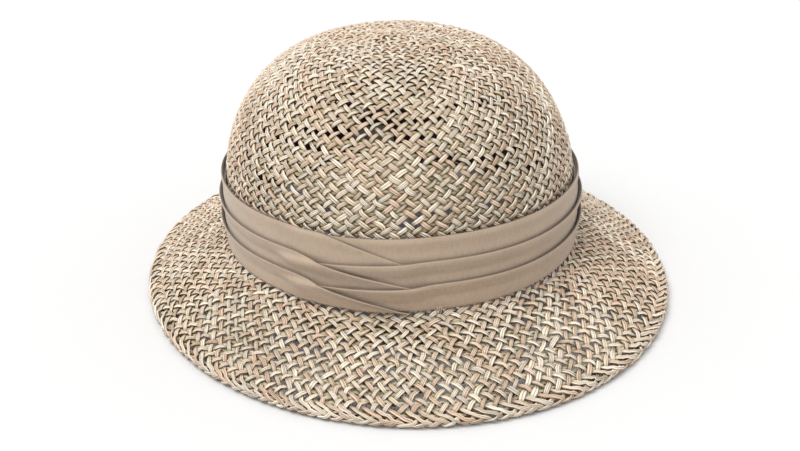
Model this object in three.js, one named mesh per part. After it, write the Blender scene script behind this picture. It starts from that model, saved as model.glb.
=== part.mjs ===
// A woven straw sun hat with a round crown, a sloping brim and a three-pleat cotton band.
// Millimetres, +Z up. The hat rests on its brim edge at z = 0, and its front faces -Y.
import * as THREE from 'three';

// ---- Driving dimensions -------------------------------------------------------------------
const SEGMENTS = 48; // facets round every oval ring

const CROWN_A = 87.5; // outer half width of the crown at the top of the band
const CROWN_OVAL = 17.5; // how much longer the crown's half length is than its half width
const CROWN_Y = 7; // the crown sits this far behind the middle of the brim
const CROWN_TOP = 122;
const DOME_Z = 56.5; // the dome starts here, at the top of the band
const DOME_RISE_POWER = 1.6;
const DOME_WIDTH_POWER = 3.1;
const DOME_STATIONS = 10;

const WALL_FLARE = 0.6; // how much wider the crown wall is at its foot
const WALL_FOOT_Z = 23.5;
const CROWN_FOOT_Z = 26; // the crown meets the brim here, behind the band
const BREAK_A = 94; // the brim starts here, outside the fillet at the crown's foot
const BREAK_Z = 17.4;
const BREAK_SWELL = 0.3; // the fillet's corner lies this far outside the wall
const BREAK_CORNER = 1.6; // and this far above the brim's start
const BREAK_STATIONS = 3;

const BRIM_A = 131; // half width over the brim edge
const BRIM_B = 167.5; // half length over the brim edge
const BRIM_STATIONS = 5;
const BRIM_ARCH = 0.25; // share of the brim's fall that comes as a downward curve

const STRAW = 2.4; // thickness of the weave
const BEAD = 5.4; // height of the turned edge
const HEM_STRAW = 1.3; // thickness of the ends that are turned under
const HEM_FLAT = 4; // width of the flat that the hat rests on
const HEM_WIDTH = 9; // how far the turned ends reach inward
const HEM_RISE = 1.6; // how far their inner end stands above the ground
const HEM_TIP = 0.4; // length of the taper at that end
const SLOT_WALL = 1.6; // straw outside the slot that holds the wire
const SLOT_ROUND = 0.6; // depth of the slot's rounded end

const WIRE_R = 0.55;
const WIRE_SIDES = 6;
const THREAD_R = 0.4;
const THREAD_SIDES = 5;
const EDGE_THREAD_Z = 3.8; // between the brim and the turned ends' tips
const GAP = 0.3; // clearance between neighbouring pieces

const BAND_FOOT_Z = 21.6;
const LINING = 0.5;
const LINING_TOP_Z = 54.5;
const LINING_FOOT_Z = 24;
const PLEAT = 1.0; // thickness of one folded pleat
const PLEAT_TOPS = { band_top_pleat: 56.5, band_middle_pleat: 45, band_bottom_pleat: 33.5 };
const PLEAT_LAP = 4.2; // how far a pleat stands up in front of the one above it
const PLEAT_CREST = 2; // depth of the top pleat's rounded crest
const PLEAT_HEEL = 1; // flat height at the foot of the bottom pleat
const PLEAT_SWELL = 0.4; // how far a pleat swells out below its fold
const PLEAT_ROUND = 0.8; // height of the rounded fold

const SWEATBAND = 0.8;
const SWEATBAND_FOOT_Z = 21;
const SWEATBAND_TOP_Z = 51;
const SWEATBAND_GAP = 0.65; // clearance between the sweatband and the weave

const LABEL = { width: 24, height: 15, thickness: 0.5 };
const LABEL_FOOT_Z = 27;
const LABEL_STEPS = 6;
const TACK = { width: 1.6, height: 4, thickness: 0.8 };
const TACK_FOOT_Z = 22;
const TACK_A = 91.6; // half width of the oval that the tacks' inner faces lie on
const TACK_STEPS = 2;

// ---- Colours ------------------------------------------------------------------------------
const finishes = {
  straw: { color: 0xcdb896, roughness: 0.62, metalness: 0 },
  band_cotton: { color: 0xbea98f, roughness: 0.9, metalness: 0 },
  buckram: { color: 0xd9d2c2, roughness: 0.95, metalness: 0 },
  sweatband_cotton: { color: 0x5f5040, roughness: 0.92, metalness: 0 },
  label_tape: { color: 0xf0ece2, roughness: 0.7, metalness: 0 },
  thread: { color: 0xc2b296, roughness: 0.8, metalness: 0 },
  edge_wire: { color: 0x9a9c9e, roughness: 0.4, metalness: 1 },
};

const hat = new THREE.Group();

function addPiece(name, geometry, finish) {
  const mesh = new THREE.Mesh(geometry, new THREE.MeshStandardMaterial(finishes[finish]));
  mesh.name = name;
  hat.add(mesh);
}

// ---- Ovals --------------------------------------------------------------------------------
// A station is one point of a ring's cross-section: a is the half width of the oval there,
// oval is how much longer its half length is, y is its centre and z its height.
function station(a, z, oval = CROWN_OVAL, y = CROWN_Y) {
  return { a, z, oval, y };
}

// Turns the stations into a lathe solid and stretches every ring of it into its oval.
function ovalLathe(stations) {
  const outline = stations.map((s) => new THREE.Vector2(s.a, s.z));
  const geometry = new THREE.LatheGeometry(outline, SEGMENTS);
  const position = geometry.attributes.position;
  for (let i = 0; i < position.count; i += 1) {
    const { a, z, oval, y } = stations[i % stations.length];
    const turn = ((Math.floor(i / stations.length) % SEGMENTS) / SEGMENTS) * 2 * Math.PI;
    position.setXYZ(i, a * Math.sin(turn), y - (a + oval) * Math.cos(turn), z);
  }
  geometry.computeVertexNormals();
  return geometry;
}

function closedRing(stations) {
  return ovalLathe([...stations, stations[0]]);
}

// A ring of round wire or thread whose middle lies at the given station.
function roundRing(middle, radius, sides) {
  const stations = [];
  for (let i = 0; i < sides; i += 1) {
    const turn = (i / sides) * 2 * Math.PI;
    const a = middle.a + radius * Math.cos(turn);
    stations.push({ ...middle, a, z: middle.z + radius * Math.sin(turn) });
  }
  return closedRing(stations);
}

// A small plate bent to the oval: its width runs round the oval, centred at the given turn.
function bentPlate(size, foot, a, turn, steps) {
  const geometry = new THREE.BoxGeometry(size.width, size.thickness, size.height, steps, 1, 1);
  const position = geometry.attributes.position;
  const b = a + CROWN_OVAL;
  const reach = Math.hypot(a * Math.cos(turn), b * Math.sin(turn));
  for (let i = 0; i < position.count; i += 1) {
    const angle = turn + position.getX(i) / reach;
    const out = size.thickness / 2 - position.getY(i);
    const x = (a + out) * Math.sin(angle);
    const y = CROWN_Y - (b + out) * Math.cos(angle);
    position.setXYZ(i, x, y, foot + size.height / 2 + position.getZ(i));
  }
  geometry.computeVertexNormals();
  return geometry;
}

// ---- The straw's outer face ---------------------------------------------------------------
function wallA(z) {
  return CROWN_A + WALL_FLARE * Math.min(1, (DOME_Z - z) / (DOME_Z - WALL_FOOT_Z));
}

// From the top of the dome down to the band.
function domeStations() {
  const stations = [];
  for (let i = 0; i < DOME_STATIONS; i += 1) {
    const climb = (1 - i / (DOME_STATIONS - 1)) * (Math.PI / 2);
    const rise = Math.sin(climb) ** (2 / DOME_RISE_POWER);
    const share = Math.max(0, Math.cos(climb)) ** (2 / DOME_WIDTH_POWER);
    const onAxis = i === 0;
    const z = DOME_Z + (CROWN_TOP - DOME_Z) * rise;
    stations.push(station(onAxis ? 0 : CROWN_A * share, z, onAxis ? 0 : CROWN_OVAL * share));
  }
  return stations;
}

// The fillet between the crown wall and the brim.
function breakStations() {
  const curve = new THREE.QuadraticBezierCurve(
    new THREE.Vector2(wallA(WALL_FOOT_Z), WALL_FOOT_Z),
    new THREE.Vector2(wallA(WALL_FOOT_Z) + BREAK_SWELL, BREAK_Z + BREAK_CORNER),
    new THREE.Vector2(BREAK_A, BREAK_Z),
  );
  return curve.getPoints(BREAK_STATIONS).map((p) => station(p.x, p.y));
}

const EDGE_A = BRIM_A - BEAD / 2; // middle of the turned edge
const EDGE_OVAL = BRIM_B - BRIM_A;

function brimStation(share) {
  const fall = share * (1 - BRIM_ARCH) + share * share * BRIM_ARCH;
  const a = BREAK_A + (EDGE_A - BREAK_A) * share;
  const z = BREAK_Z + (BEAD - BREAK_Z) * fall;
  return station(a, z, CROWN_OVAL + (EDGE_OVAL - CROWN_OVAL) * share, CROWN_Y * (1 - share));
}

function brimStations() {
  const stations = [];
  for (let i = 1; i <= BRIM_STATIONS; i += 1) {
    stations.push(brimStation(i / BRIM_STATIONS));
  }
  return stations;
}

function crownOuterStations() {
  return [...domeStations(), station(wallA(CROWN_FOOT_Z), CROWN_FOOT_Z)];
}

function brimOuterStations() {
  const topZ = CROWN_FOOT_Z - GAP;
  return [station(wallA(topZ), topZ), ...breakStations(), ...brimStations()];
}

// The face inside the weave, one thickness in from the outer face.
function innerStations(outer) {
  return outer.map((here, i) => {
    const before = outer[Math.max(0, i - 1)];
    const after = outer[Math.min(outer.length - 1, i + 1)];
    const runA = after.a - before.a;
    const runZ = after.z - before.z;
    const length = Math.hypot(runA, runZ);
    if (here.a === 0) {
      return { ...here, z: here.z - STRAW };
    }
    const a = here.a + (STRAW * runZ) / length;
    return { ...here, a, z: here.z - (STRAW * runA) / length };
  });
}

// ---- The pieces ---------------------------------------------------------------------------
function edgeStation(a, z) {
  return station(a, z, EDGE_OVAL, 0);
}

// The turned edge: round the outside of the brim, flat on its underside, then back inward.
function hemStations() {
  const stations = [];
  const slotTop = BEAD - STRAW;
  const slotEndA = BRIM_A - SLOT_WALL;
  const flatEndA = EDGE_A - HEM_FLAT;
  const endA = EDGE_A - HEM_WIDTH;
  stations.push(edgeStation(slotEndA - SLOT_ROUND, slotTop));
  stations.push(edgeStation(slotEndA, (slotTop + HEM_STRAW) / 2));
  stations.push(edgeStation(slotEndA - SLOT_ROUND, HEM_STRAW));
  stations.push(edgeStation(flatEndA, HEM_STRAW));
  stations.push(edgeStation(endA, HEM_RISE + HEM_STRAW));
  stations.push(edgeStation(endA - HEM_TIP, HEM_RISE + HEM_TIP / 2));
  stations.push(edgeStation(flatEndA, 0));
  stations.push(edgeStation(EDGE_A, 0));
  for (const turn of [-60, -30, 0, 30, 60]) {
    const angle = THREE.MathUtils.degToRad(turn);
    const a = EDGE_A + (BEAD / 2) * Math.cos(angle);
    stations.push(edgeStation(a, BEAD / 2 + (BEAD / 2) * Math.sin(angle)));
  }
  return stations;
}

function wovenCrown() {
  const outer = crownOuterStations();
  return ovalLathe([...innerStations(outer), ...outer.reverse()]);
}

function wovenBrim() {
  const outer = brimOuterStations();
  const inner = innerStations(outer).slice(0, -1);
  return closedRing([...inner, ...hemStations(), ...outer.reverse()]);
}

function brimWire() {
  const slotMiddle = (BEAD - STRAW + HEM_STRAW) / 2;
  return roundRing(edgeStation(EDGE_A, slotMiddle), WIRE_R, WIRE_SIDES);
}

// The thread that ties the turned ends to the underside of the brim.
function edgeThread() {
  return roundRing(edgeStation(EDGE_A - HEM_WIDTH + THREAD_R, EDGE_THREAD_Z), THREAD_R, THREAD_SIDES);
}

function bandLining() {
  const skin = (z) => wallA(z) + GAP;
  return closedRing([
    station(skin(LINING_FOOT_Z), LINING_FOOT_Z),
    station(skin(LINING_FOOT_Z) + LINING, LINING_FOOT_Z),
    station(skin(LINING_TOP_Z) + LINING, LINING_TOP_Z),
    station(skin(LINING_TOP_Z), LINING_TOP_Z),
  ]);
}

// One folded strip of the band. Its foot lies on the lining, and its rounded top fold stands
// in front of the strip above. The foot of a covered strip stays flat behind the next one.
function pleat(top, foot, lapped, covered) {
  const lean = lapped ? PLEAT + GAP : 0;
  const back = (z) => wallA(z) + 2 * GAP + LINING;
  const lapZ = top - (lapped ? PLEAT_LAP : PLEAT_CREST);
  const flatTop = foot + (covered ? PLEAT_LAP : PLEAT_HEEL);
  return closedRing([
    station(back(foot), foot),
    station(back(foot) + PLEAT, foot),
    station(back(flatTop) + PLEAT, flatTop),
    station(back(lapZ) + lean + PLEAT + PLEAT_SWELL, lapZ),
    station(back(top) + lean + PLEAT, top - PLEAT_ROUND),
    station(back(top) + lean + PLEAT / 2, top),
    station(back(top) + lean, top - PLEAT_ROUND),
    station(back(lapZ) + lean, lapZ),
    station(back(lapZ), lapZ - GAP - PLEAT_HEEL),
  ]);
}

function sweatband() {
  const skin = (z) => wallA(z) - STRAW - SWEATBAND_GAP;
  return closedRing([
    station(skin(SWEATBAND_FOOT_Z) - SWEATBAND, SWEATBAND_FOOT_Z),
    station(skin(SWEATBAND_FOOT_Z), SWEATBAND_FOOT_Z),
    station(skin(SWEATBAND_TOP_Z), SWEATBAND_TOP_Z),
    station(skin(SWEATBAND_TOP_Z) - SWEATBAND, SWEATBAND_TOP_Z),
  ]);
}

function sweatbandThread() {
  const z = SWEATBAND_FOOT_Z - 2 * GAP - THREAD_R;
  return roundRing(station(wallA(z) - STRAW - 2 * THREAD_R - GAP, z), THREAD_R, THREAD_SIDES);
}

addPiece('woven_crown', wovenCrown(), 'straw');
addPiece('woven_brim', wovenBrim(), 'straw');
addPiece('brim_wire', brimWire(), 'edge_wire');
addPiece('edge_thread', edgeThread(), 'thread');
addPiece('band_lining', bandLining(), 'buckram');

const pleatFeet = {
  band_top_pleat: PLEAT_TOPS.band_middle_pleat - PLEAT_LAP + GAP,
  band_middle_pleat: PLEAT_TOPS.band_bottom_pleat - PLEAT_LAP + GAP,
  band_bottom_pleat: BAND_FOOT_Z,
};
for (const [name, top] of Object.entries(PLEAT_TOPS)) {
  const lapped = name !== 'band_top_pleat';
  const covered = name !== 'band_bottom_pleat';
  addPiece(name, pleat(top, pleatFeet[name], lapped, covered), 'band_cotton');
}

addPiece('sweatband', sweatband(), 'sweatband_cotton');
addPiece('sweatband_thread', sweatbandThread(), 'thread');

const labelTop = LABEL_FOOT_Z + LABEL.height;
const sweatbandFace = wallA(labelTop) - STRAW - SWEATBAND_GAP - SWEATBAND;
const labelFace = sweatbandFace - 2 * GAP - LABEL.thickness;
addPiece('size_label', bentPlate(LABEL, LABEL_FOOT_Z, labelFace, Math.PI, LABEL_STEPS), 'label_tape');

const tackTurns = { front: 0, right: 0.5, back: 1, left: 1.5 };
for (const [side, halfTurns] of Object.entries(tackTurns)) {
  const plate = bentPlate(TACK, TACK_FOOT_Z, TACK_A, halfTurns * Math.PI, TACK_STEPS);
  addPiece(`band_tack_${side}`, plate, 'thread');
}

export default hat;
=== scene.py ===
"""A woven straw sun hat with a crossed, pleated cotton band, built around its CAD frame."""
import math

import bpy
import numpy as np
from mathutils import Matrix, Vector


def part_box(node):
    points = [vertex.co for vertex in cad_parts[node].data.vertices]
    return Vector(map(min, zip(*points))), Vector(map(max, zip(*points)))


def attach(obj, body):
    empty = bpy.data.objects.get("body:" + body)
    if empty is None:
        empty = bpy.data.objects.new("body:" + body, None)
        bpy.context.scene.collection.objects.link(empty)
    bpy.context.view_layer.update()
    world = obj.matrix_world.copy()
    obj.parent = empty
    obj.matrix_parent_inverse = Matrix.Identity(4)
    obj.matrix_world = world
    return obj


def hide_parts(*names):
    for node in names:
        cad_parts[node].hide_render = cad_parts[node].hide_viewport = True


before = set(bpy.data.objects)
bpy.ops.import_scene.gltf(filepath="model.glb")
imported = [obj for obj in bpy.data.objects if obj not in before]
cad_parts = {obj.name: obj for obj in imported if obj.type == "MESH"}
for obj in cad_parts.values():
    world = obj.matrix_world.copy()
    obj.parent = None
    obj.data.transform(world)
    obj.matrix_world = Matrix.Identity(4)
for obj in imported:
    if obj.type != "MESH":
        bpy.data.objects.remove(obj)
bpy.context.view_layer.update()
rng = np.random.default_rng(7)
TURN = 2 * math.pi
MM = 0.001

# ---- Sizes taken from the frame -----------------------------------------------------------
crown_low, crown_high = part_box("woven_crown")
brim_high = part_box("woven_brim")[1]
wall_low, wall_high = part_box("band_lining")
sweat_low, sweat_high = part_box("sweatband")
label_low, label_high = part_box("size_label")

CROWN_TOP = crown_high[2]
CROWN_Y = (crown_low[1] + crown_high[1]) / 2
CROWN_OVAL = (crown_high[1] - crown_low[1]) / 2 - crown_high[0]
CROWN_TAPER = 0.55 * MM  # the crown is this much narrower above the band than at its widest
CROWN_A = crown_high[0] - CROWN_TAPER
BAND_TOP_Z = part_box("band_top_pleat")[1][2]
BAND_FOOT_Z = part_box("band_bottom_pleat")[0][2]
EDGE_A = brim_high[0]
EDGE_OVAL = brim_high[1] - brim_high[0]

# ---- The straw's outer face: the same curves as the frame's, in metres ---------------------
DOME_RISE_POWER, DOME_WIDTH_POWER = 1.6, 3.1
CROWN_SINK = 1.9 * MM  # the dome's top lies this far under the frame's, apart from its knob
KNOB_RISE, KNOB_A = 2.8 * MM, 9 * MM
WALL_FLARE = 0.6 * MM
WALL_FOOT_Z = 23.5 * MM
BREAK_A, BREAK_Z = 94 * MM, 17.4 * MM
BREAK_SWELL, BREAK_CORNER = 0.3 * MM, 1.6 * MM
BRIM_ARCH = 0.25
BEAD = 5.4 * MM
BEAD_A = EDGE_A - BEAD / 2
BEAD_TURN = (68, -90)  # degrees, from the brim's top round the edge to its underside
BEAD_DEPTH = 0.85  # the strands' middle in the edge's roll, as a share of that in the brim
HEM_WIDTH = 8.4 * MM
HEM_LIFT, HEM_RISE, HEM_FLAT, HEM_POWER = 0.2 * MM, 1.5 * MM, 0.35, 1.5
DOME_POINTS, WALL_POINTS, BEND_POINTS, BRIM_POINTS, EDGE_POINTS = 400, 60, 40, 120, 40

# ---- The weave ----------------------------------------------------------------------------
WEAVE_DEPTH = 1.12 * MM  # the strands' middle lies this far inside the outer face
STRAND_WIDTH = 1.7 * MM
STRAND_THICK = 1.15 * MM
INNER_WIDTH, INNER_THICK, INNER_SHARE = 2.05 * MM, 1.2 * MM, 0.86
WAVE = 0.6 * MM  # how far a strand swings out and in as it passes over and under
START_ROW = 6  # crossings in the innermost row
CROWN_ROW = 84
BRIM_FIRST_ROW = 108
EDGE_ROW = 152
CAP_STEP, WALL_STEP, BRIM_STEP = 2.72 * MM, 2.5 * MM, 2.43 * MM
SUBSTEPS, INNER_SUBSTEPS = 3, 2  # cuts in a strand from one knot to the next
FIRST_ROW_AT, ROWS_STOP, LAST_ROW_IN = 2.6 * MM, 0.5 * MM, 0.3 * MM
CROWN_GROWTH, FOOT_GROWTH = 3.2, 6  # crossings gained in each row of the dome and of the brim's start
FOOT_LENGTH = 9 * MM  # how far above the brim the rows start to widen
INSERT_SHAKE = 0.35  # unevenness of the places where new strands are taken in
EVEN_ROUNDS, EVEN_SHARE = 14, 0.4
SHAKE_ROUND, SHAKE_DOWN = 0.075, 0.16 * MM  # how far crossings stray from an even row
EVEN_ROUND, EVEN_DOWN = 4, 2  # rows at the tip that don't stray
STRAND_SPREAD, THICK_SPREAD, HEIGHT_SPREAD = 0.12, 0.08, 0.08 * MM
STRAND_LIMITS = (0.7, 1.3)
TIP_LENGTH, TIP_TURN, TIP_DROP = 0.8 * MM, 0.25, -0.6  # where strands start at the crown's tip
TUCKS, TUCK_STEP, TUCK_DROP = (1.05, 0.75), 2.6 * MM, -1.9  # how added strands are tucked in
END_SPREAD = 0.12
HOLE_HEIGHT, UNDER_HEIGHT = -0.62 * MM, -1.75 * MM  # an inner strand in a hole and under a crossing
INNER_DOWN_SPREAD, INNER_HEIGHT_SPREAD, INNER_RUN = 0.15 * MM, 0.1 * MM, 6
BAND_HIDES = 4 * MM  # inner strands run this far behind the band's top and foot
THREE_FIBRE_SHARE = 0.55
NORMAL_STEP, NORMAL_TURN = 0.4 * MM, 0.004  # the differences that a normal is worked out from


def length_along(points):
    """How far along the line through the points each one is."""
    return np.concatenate([[0], np.cumsum(np.linalg.norm(np.diff(points, axis=0), axis=1))])


def wall_a(z):
    return CROWN_A + WALL_FLARE * np.clip((BAND_TOP_Z - z) / (BAND_TOP_Z - WALL_FOOT_Z), 0, 1)


def outer_profile():
    """Fine points of the straw's outer face at the side: half width, oval, centre and height."""
    climb = np.linspace(math.pi / 2, 0, DOME_POINTS)
    share = np.maximum(np.cos(climb), 0) ** (2 / DOME_WIDTH_POWER)
    dome_z = BAND_TOP_Z + (CROWN_TOP - BAND_TOP_Z) * np.sin(climb) ** (2 / DOME_RISE_POWER)
    dome_z -= CROWN_SINK * (1 - share**2)
    dome_z += KNOB_RISE * np.exp(-((CROWN_A * share / KNOB_A) ** 2))
    dome = np.stack([CROWN_A * share, CROWN_OVAL * share, CROWN_Y + 0 * share, dome_z], 1)
    wall_z = np.linspace(BAND_TOP_Z, WALL_FOOT_Z, WALL_POINTS)[1:]
    wall = np.stack([wall_a(wall_z), 0 * wall_z + CROWN_OVAL, 0 * wall_z + CROWN_Y, wall_z], 1)
    t = np.linspace(0, 1, BEND_POINTS)[1:, None]
    start = np.array([[CROWN_A + WALL_FLARE, WALL_FOOT_Z]])
    middle = np.array([[CROWN_A + WALL_FLARE + BREAK_SWELL, BREAK_Z + BREAK_CORNER]])
    end = np.array([[BREAK_A, BREAK_Z]])
    bend = start * (1 - t) ** 2 + middle * 2 * t * (1 - t) + end * t**2
    fillet = np.stack([bend[:, 0], 0 * bend[:, 0] + CROWN_OVAL, 0 * bend[:, 0] + CROWN_Y, bend[:, 1]], 1)
    s = np.linspace(0, 1, BRIM_POINTS)[1:]
    fall = s * (1 - BRIM_ARCH) + s * s * BRIM_ARCH
    brim = np.stack(
        [
            BREAK_A + (BEAD_A - BREAK_A) * s,
            CROWN_OVAL + (EDGE_OVAL - CROWN_OVAL) * s,
            CROWN_Y * (1 - s),
            BREAK_Z + (BEAD - BREAK_Z) * fall,
        ],
        1,
    )
    return np.concatenate([dome, wall, fillet, brim])


def weave_profile():
    """The middle of the weave, then round the turned edge and back under the brim."""
    outer = outer_profile()
    run = np.gradient(outer[:, [0, 3]], axis=0)
    run /= np.linalg.norm(run, axis=1, keepdims=True)
    run[0] = (1, 0)
    mid = outer.copy()
    mid[:, 0] = np.maximum(outer[:, 0] + WEAVE_DEPTH * run[:, 1], 0)
    mid[:, 3] = outer[:, 3] - WEAVE_DEPTH * run[:, 0]
    radius = BEAD / 2 - WEAVE_DEPTH * BEAD_DEPTH
    turn = np.radians(np.linspace(*BEAD_TURN, EDGE_POINTS))
    bead = np.stack([BEAD_A + radius * np.cos(turn), BEAD / 2 + radius * np.sin(turn)], 1)
    back = np.linspace(0, 1, EDGE_POINTS)[1:]
    hem_a = BEAD_A - HEM_WIDTH * back
    climb = np.clip((back - HEM_FLAT) / (1 - HEM_FLAT), 0, 1) ** HEM_POWER
    hem_z = bead[-1, 1] + HEM_LIFT + HEM_RISE * climb
    edge = np.concatenate([bead, np.stack([hem_a, hem_z], 1)])
    edge = np.stack([edge[:, 0], 0 * edge[:, 0] + EDGE_OVAL, 0 * edge[:, 0], edge[:, 1]], 1)
    return mid, edge


mid_profile, edge_profile = weave_profile()
full_profile = np.concatenate([mid_profile, edge_profile])
profile_at = length_along(full_profile[:, [0, 3]])
LENGTH_TO_BAND = profile_at[np.argmin(np.abs(mid_profile[:, 3] - BAND_TOP_Z))]
LENGTH_TO_BREAK = profile_at[DOME_POINTS + WALL_POINTS + BEND_POINTS - 3]
LENGTH_TO_EDGE = profile_at[len(mid_profile) - 1]
LENGTH_TO_END = profile_at[-1]


def on_hat(length, angle):
    """The point of the weave's middle surface that far down the side's profile."""
    a, oval, y, z = (np.interp(length, profile_at, column) for column in full_profile.T)
    return np.stack([a * np.sin(angle), y - (a + oval) * np.cos(angle), z], -1)


def out_of_hat(length, angle):
    """The outward normal there."""
    step, turn = NORMAL_STEP, NORMAL_TURN
    down = on_hat(length + step, angle) - on_hat(np.maximum(length - step, 0), angle)
    round_it = on_hat(length, angle + turn) - on_hat(length, angle - turn)
    out = np.cross(down, round_it)
    return out / np.maximum(np.linalg.norm(out, axis=-1, keepdims=True), 1e-12)


# ---- Crossings: rows round the hat, from the tip to the edge --------------------------------
def row_plan():
    """Each row's distance down the profile and how many crossings it has."""
    at, count = [FIRST_ROW_AT], [START_ROW]
    while at[-1] < LENGTH_TO_EDGE - ROWS_STOP:
        here = at[-1]
        if here < LENGTH_TO_BAND:
            mix = here / LENGTH_TO_BAND
            step = CAP_STEP + (WALL_STEP - CAP_STEP) * mix
            number = min(CROWN_ROW, round(START_ROW + CROWN_GROWTH * len(count)))
        elif here < LENGTH_TO_BREAK - FOOT_LENGTH:
            step, number = WALL_STEP, CROWN_ROW
        elif here < LENGTH_TO_BREAK:
            step = BRIM_STEP
            number = min(BRIM_FIRST_ROW, count[-1] + FOOT_GROWTH)
        else:
            step = BRIM_STEP
            out = (here - LENGTH_TO_BREAK) / (LENGTH_TO_EDGE - LENGTH_TO_BREAK)
            number = round(BRIM_FIRST_ROW + (EDGE_ROW - BRIM_FIRST_ROW) * out)
        at.append(here + step)
        count.append(max(number, count[-1]))
    scale = (LENGTH_TO_EDGE - LAST_ROW_IN - at[0]) / (at[-1] - at[0])
    return at[0] + (np.array(at) - at[0]) * scale, count


def weave_rows():
    """For each row, its crossings' angles and the two crossings above that feed each one."""
    at, count = row_plan()
    rows = [dict(angle=np.arange(START_ROW) / START_ROW * TURN, left=None, right=None)]
    for i in range(1, len(at)):
        above = rows[-1]["angle"]
        n = len(above)
        extra = count[i] - n
        spots = set()
        if extra > 0:
            start = rng.random()
            spots = {int((q + start + INSERT_SHAKE * rng.random()) / extra * n) % n for q in range(extra)}
        angle, left, right = [], [], []
        for k in range(n):
            following = above[(k + 1) % n] + (TURN if k == n - 1 else 0)
            if k in spots:
                angle.append(above[k])
                left.append(-1)
                right.append(-1)
            angle.append((above[k] + following) / 2)
            left.append(k)
            right.append((k + 1) % n)
        angle = np.array(angle)
        for _ in range(EVEN_ROUNDS):
            before, after = np.roll(angle, 1), np.roll(angle, -1)
            before[0] -= TURN
            after[-1] += TURN
            angle += EVEN_SHARE * ((before + after) / 2 - angle)
        rows.append(dict(angle=angle, left=np.array(left), right=np.array(right)))
    return at, rows


row_at, rows = weave_rows()
for i, row in enumerate(rows):
    gap = TURN / len(row["angle"])
    loose = SHAKE_ROUND * (i >= EVEN_ROUND)
    row["shake"] = row["angle"] + gap * loose * rng.standard_normal(len(row["angle"]))
    row["length"] = row_at[i] + SHAKE_DOWN * rng.standard_normal(len(row["angle"])) * (i >= EVEN_DOWN)


def strands(side):
    """Chains of crossings. side 0 runs down to the right of each crossing, 1 to the left."""
    chains, owner = [], [dict() for _ in rows]
    for i, row in enumerate(rows):
        n = len(row["angle"])
        feeder = row["left" if side == 0 else "right"]
        for k in range(n):
            parent = -1 if feeder is None else feeder[k]
            if parent < 0:
                chains.append([(i, k)])
                owner[i][k] = len(chains) - 1
            else:
                chain = owner[i - 1][parent]
                chains[chain].append((i, k))
                owner[i][k] = chain
    return chains


# How strands end past the last row: millimetres on, crossings along the edge, millimetres out.
# Those that run to the right turn along the edge on top, and the others turn below them.
RIGHT_ENDS = (
    (0.9, 0.35, 0.5), (1.8, 0.70, 0.85), (2.5, 1.15, 0.85), (3.2, 1.5, 0.35),
    (4.6, 1.7, -0.2), (8.0, 1.9, 0.0), (13.5, 2.4, 0.2),
)
LEFT_ENDS = (
    (0.9, 0.35, -0.4), (1.8, 0.60, -0.3), (2.8, 0.9, 0.3), (3.6, 1.3, 0.75),
    (4.3, 1.7, 0.55), (5.6, 1.95, 0.0), (8.5, 2.2, -0.1), (13.5, 2.8, -0.2),
)


def strand_nodes(chain, side):
    """Length, angle and height of a strand's knots, with its tucked start and its turned end."""
    sign = 1 if side == 0 else -1
    length = [rows[i]["length"][k] for i, k in chain]
    angle = list(np.unwrap([rows[i]["shake"][k] for i, k in chain]))
    height = [WAVE * (1 if (i + side) % 2 == 0 else -1) for i, k in chain]
    i, k = chain[0]
    gap = TURN / len(rows[i]["angle"])
    if i == 0:
        length = [TIP_LENGTH] + length
        angle = [angle[0] - sign * TIP_TURN * gap] + angle
        height = [TIP_DROP * WAVE] + height
    else:
        back = TUCKS[0] if rng.random() < 0.5 else TUCKS[1]
        length = [length[0] - back * TUCK_STEP] + length
        angle = [angle[0] - sign * 0.5 * back * gap] + angle
        height = [TUCK_DROP * WAVE] + height
    edge_gap = TURN / len(rows[-1]["angle"])
    last = angle[-1]
    for out, across, lift in RIGHT_ENDS if side == 0 else LEFT_ENDS:
        length.append(min(LENGTH_TO_EDGE + out * MM, LENGTH_TO_END))
        angle.append(last + sign * (across + END_SPREAD * rng.standard_normal()) * edge_gap)
        height.append((lift + END_SPREAD * rng.standard_normal()) * MM)
    return np.array(length), np.array(angle), np.array(height)


def smooth_between(values, cuts):
    """A curve through the values, with that many steps between each two."""
    v = np.concatenate([[2 * values[0] - values[1]], values, [2 * values[-1] - values[-2]]])
    t = np.arange(cuts) / cuts
    p0, p1, p2, p3 = v[:-3, None], v[1:-2, None], v[2:-1, None], v[3:, None]
    curve = 0.5 * (2 * p1 + (p2 - p0) * t + (2 * p0 - 5 * p1 + 4 * p2 - p3) * t**2
                   + (3 * p1 - p0 - 3 * p2 + p3) * t**3)
    return np.append(curve.reshape(-1), values[-1])


def waved_between(values, cuts):
    """The same for heights, rounded like a strand bent over its neighbours."""
    t = (1 - np.cos(np.pi * np.arange(cuts) / cuts)) / 2
    curve = values[:-1, None] + (values[1:] - values[:-1])[:, None] * t
    return np.append(curve.reshape(-1), values[-1])


# Cross-section of a strand: how far across and how high each corner is, and how much painted shade it
# gets in the grooves between the fibres, at the edges and underneath; for three fibres, two, and a plain
# round one.
ACROSS = np.array([0.98, 0.72, 0.36, 0, -0.36, -0.72, -0.98, -0.62, 0, 0.62])
THREE_FIBRES = (
    np.array([0.1, 0.84, 0.46, 1.0, 0.46, 0.84, 0.1, -0.75, -0.85, -0.75]),
    np.array([0.7, 0, 1, 0, 1, 0, 0.7, 0.9, 0.8, 0.9]),
)
TWO_FIBRES = (
    np.array([0.1, 0.80, 1.0, 0.44, 1.0, 0.80, 0.1, -0.75, -0.85, -0.75]),
    np.array([0.7, 0, 0, 1, 0, 0, 0.7, 0.9, 0.8, 0.9]),
)
ONE_FIBRE = (
    np.array([0.1, 0.65, 0.93, 1.0, 0.93, 0.65, 0.1, -0.75, -0.95, -0.75]),
    np.array([1, 0.5, 0.1, 0, 0.1, 0.5, 1, 0.9, 0.8, 0.9]),
)


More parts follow.
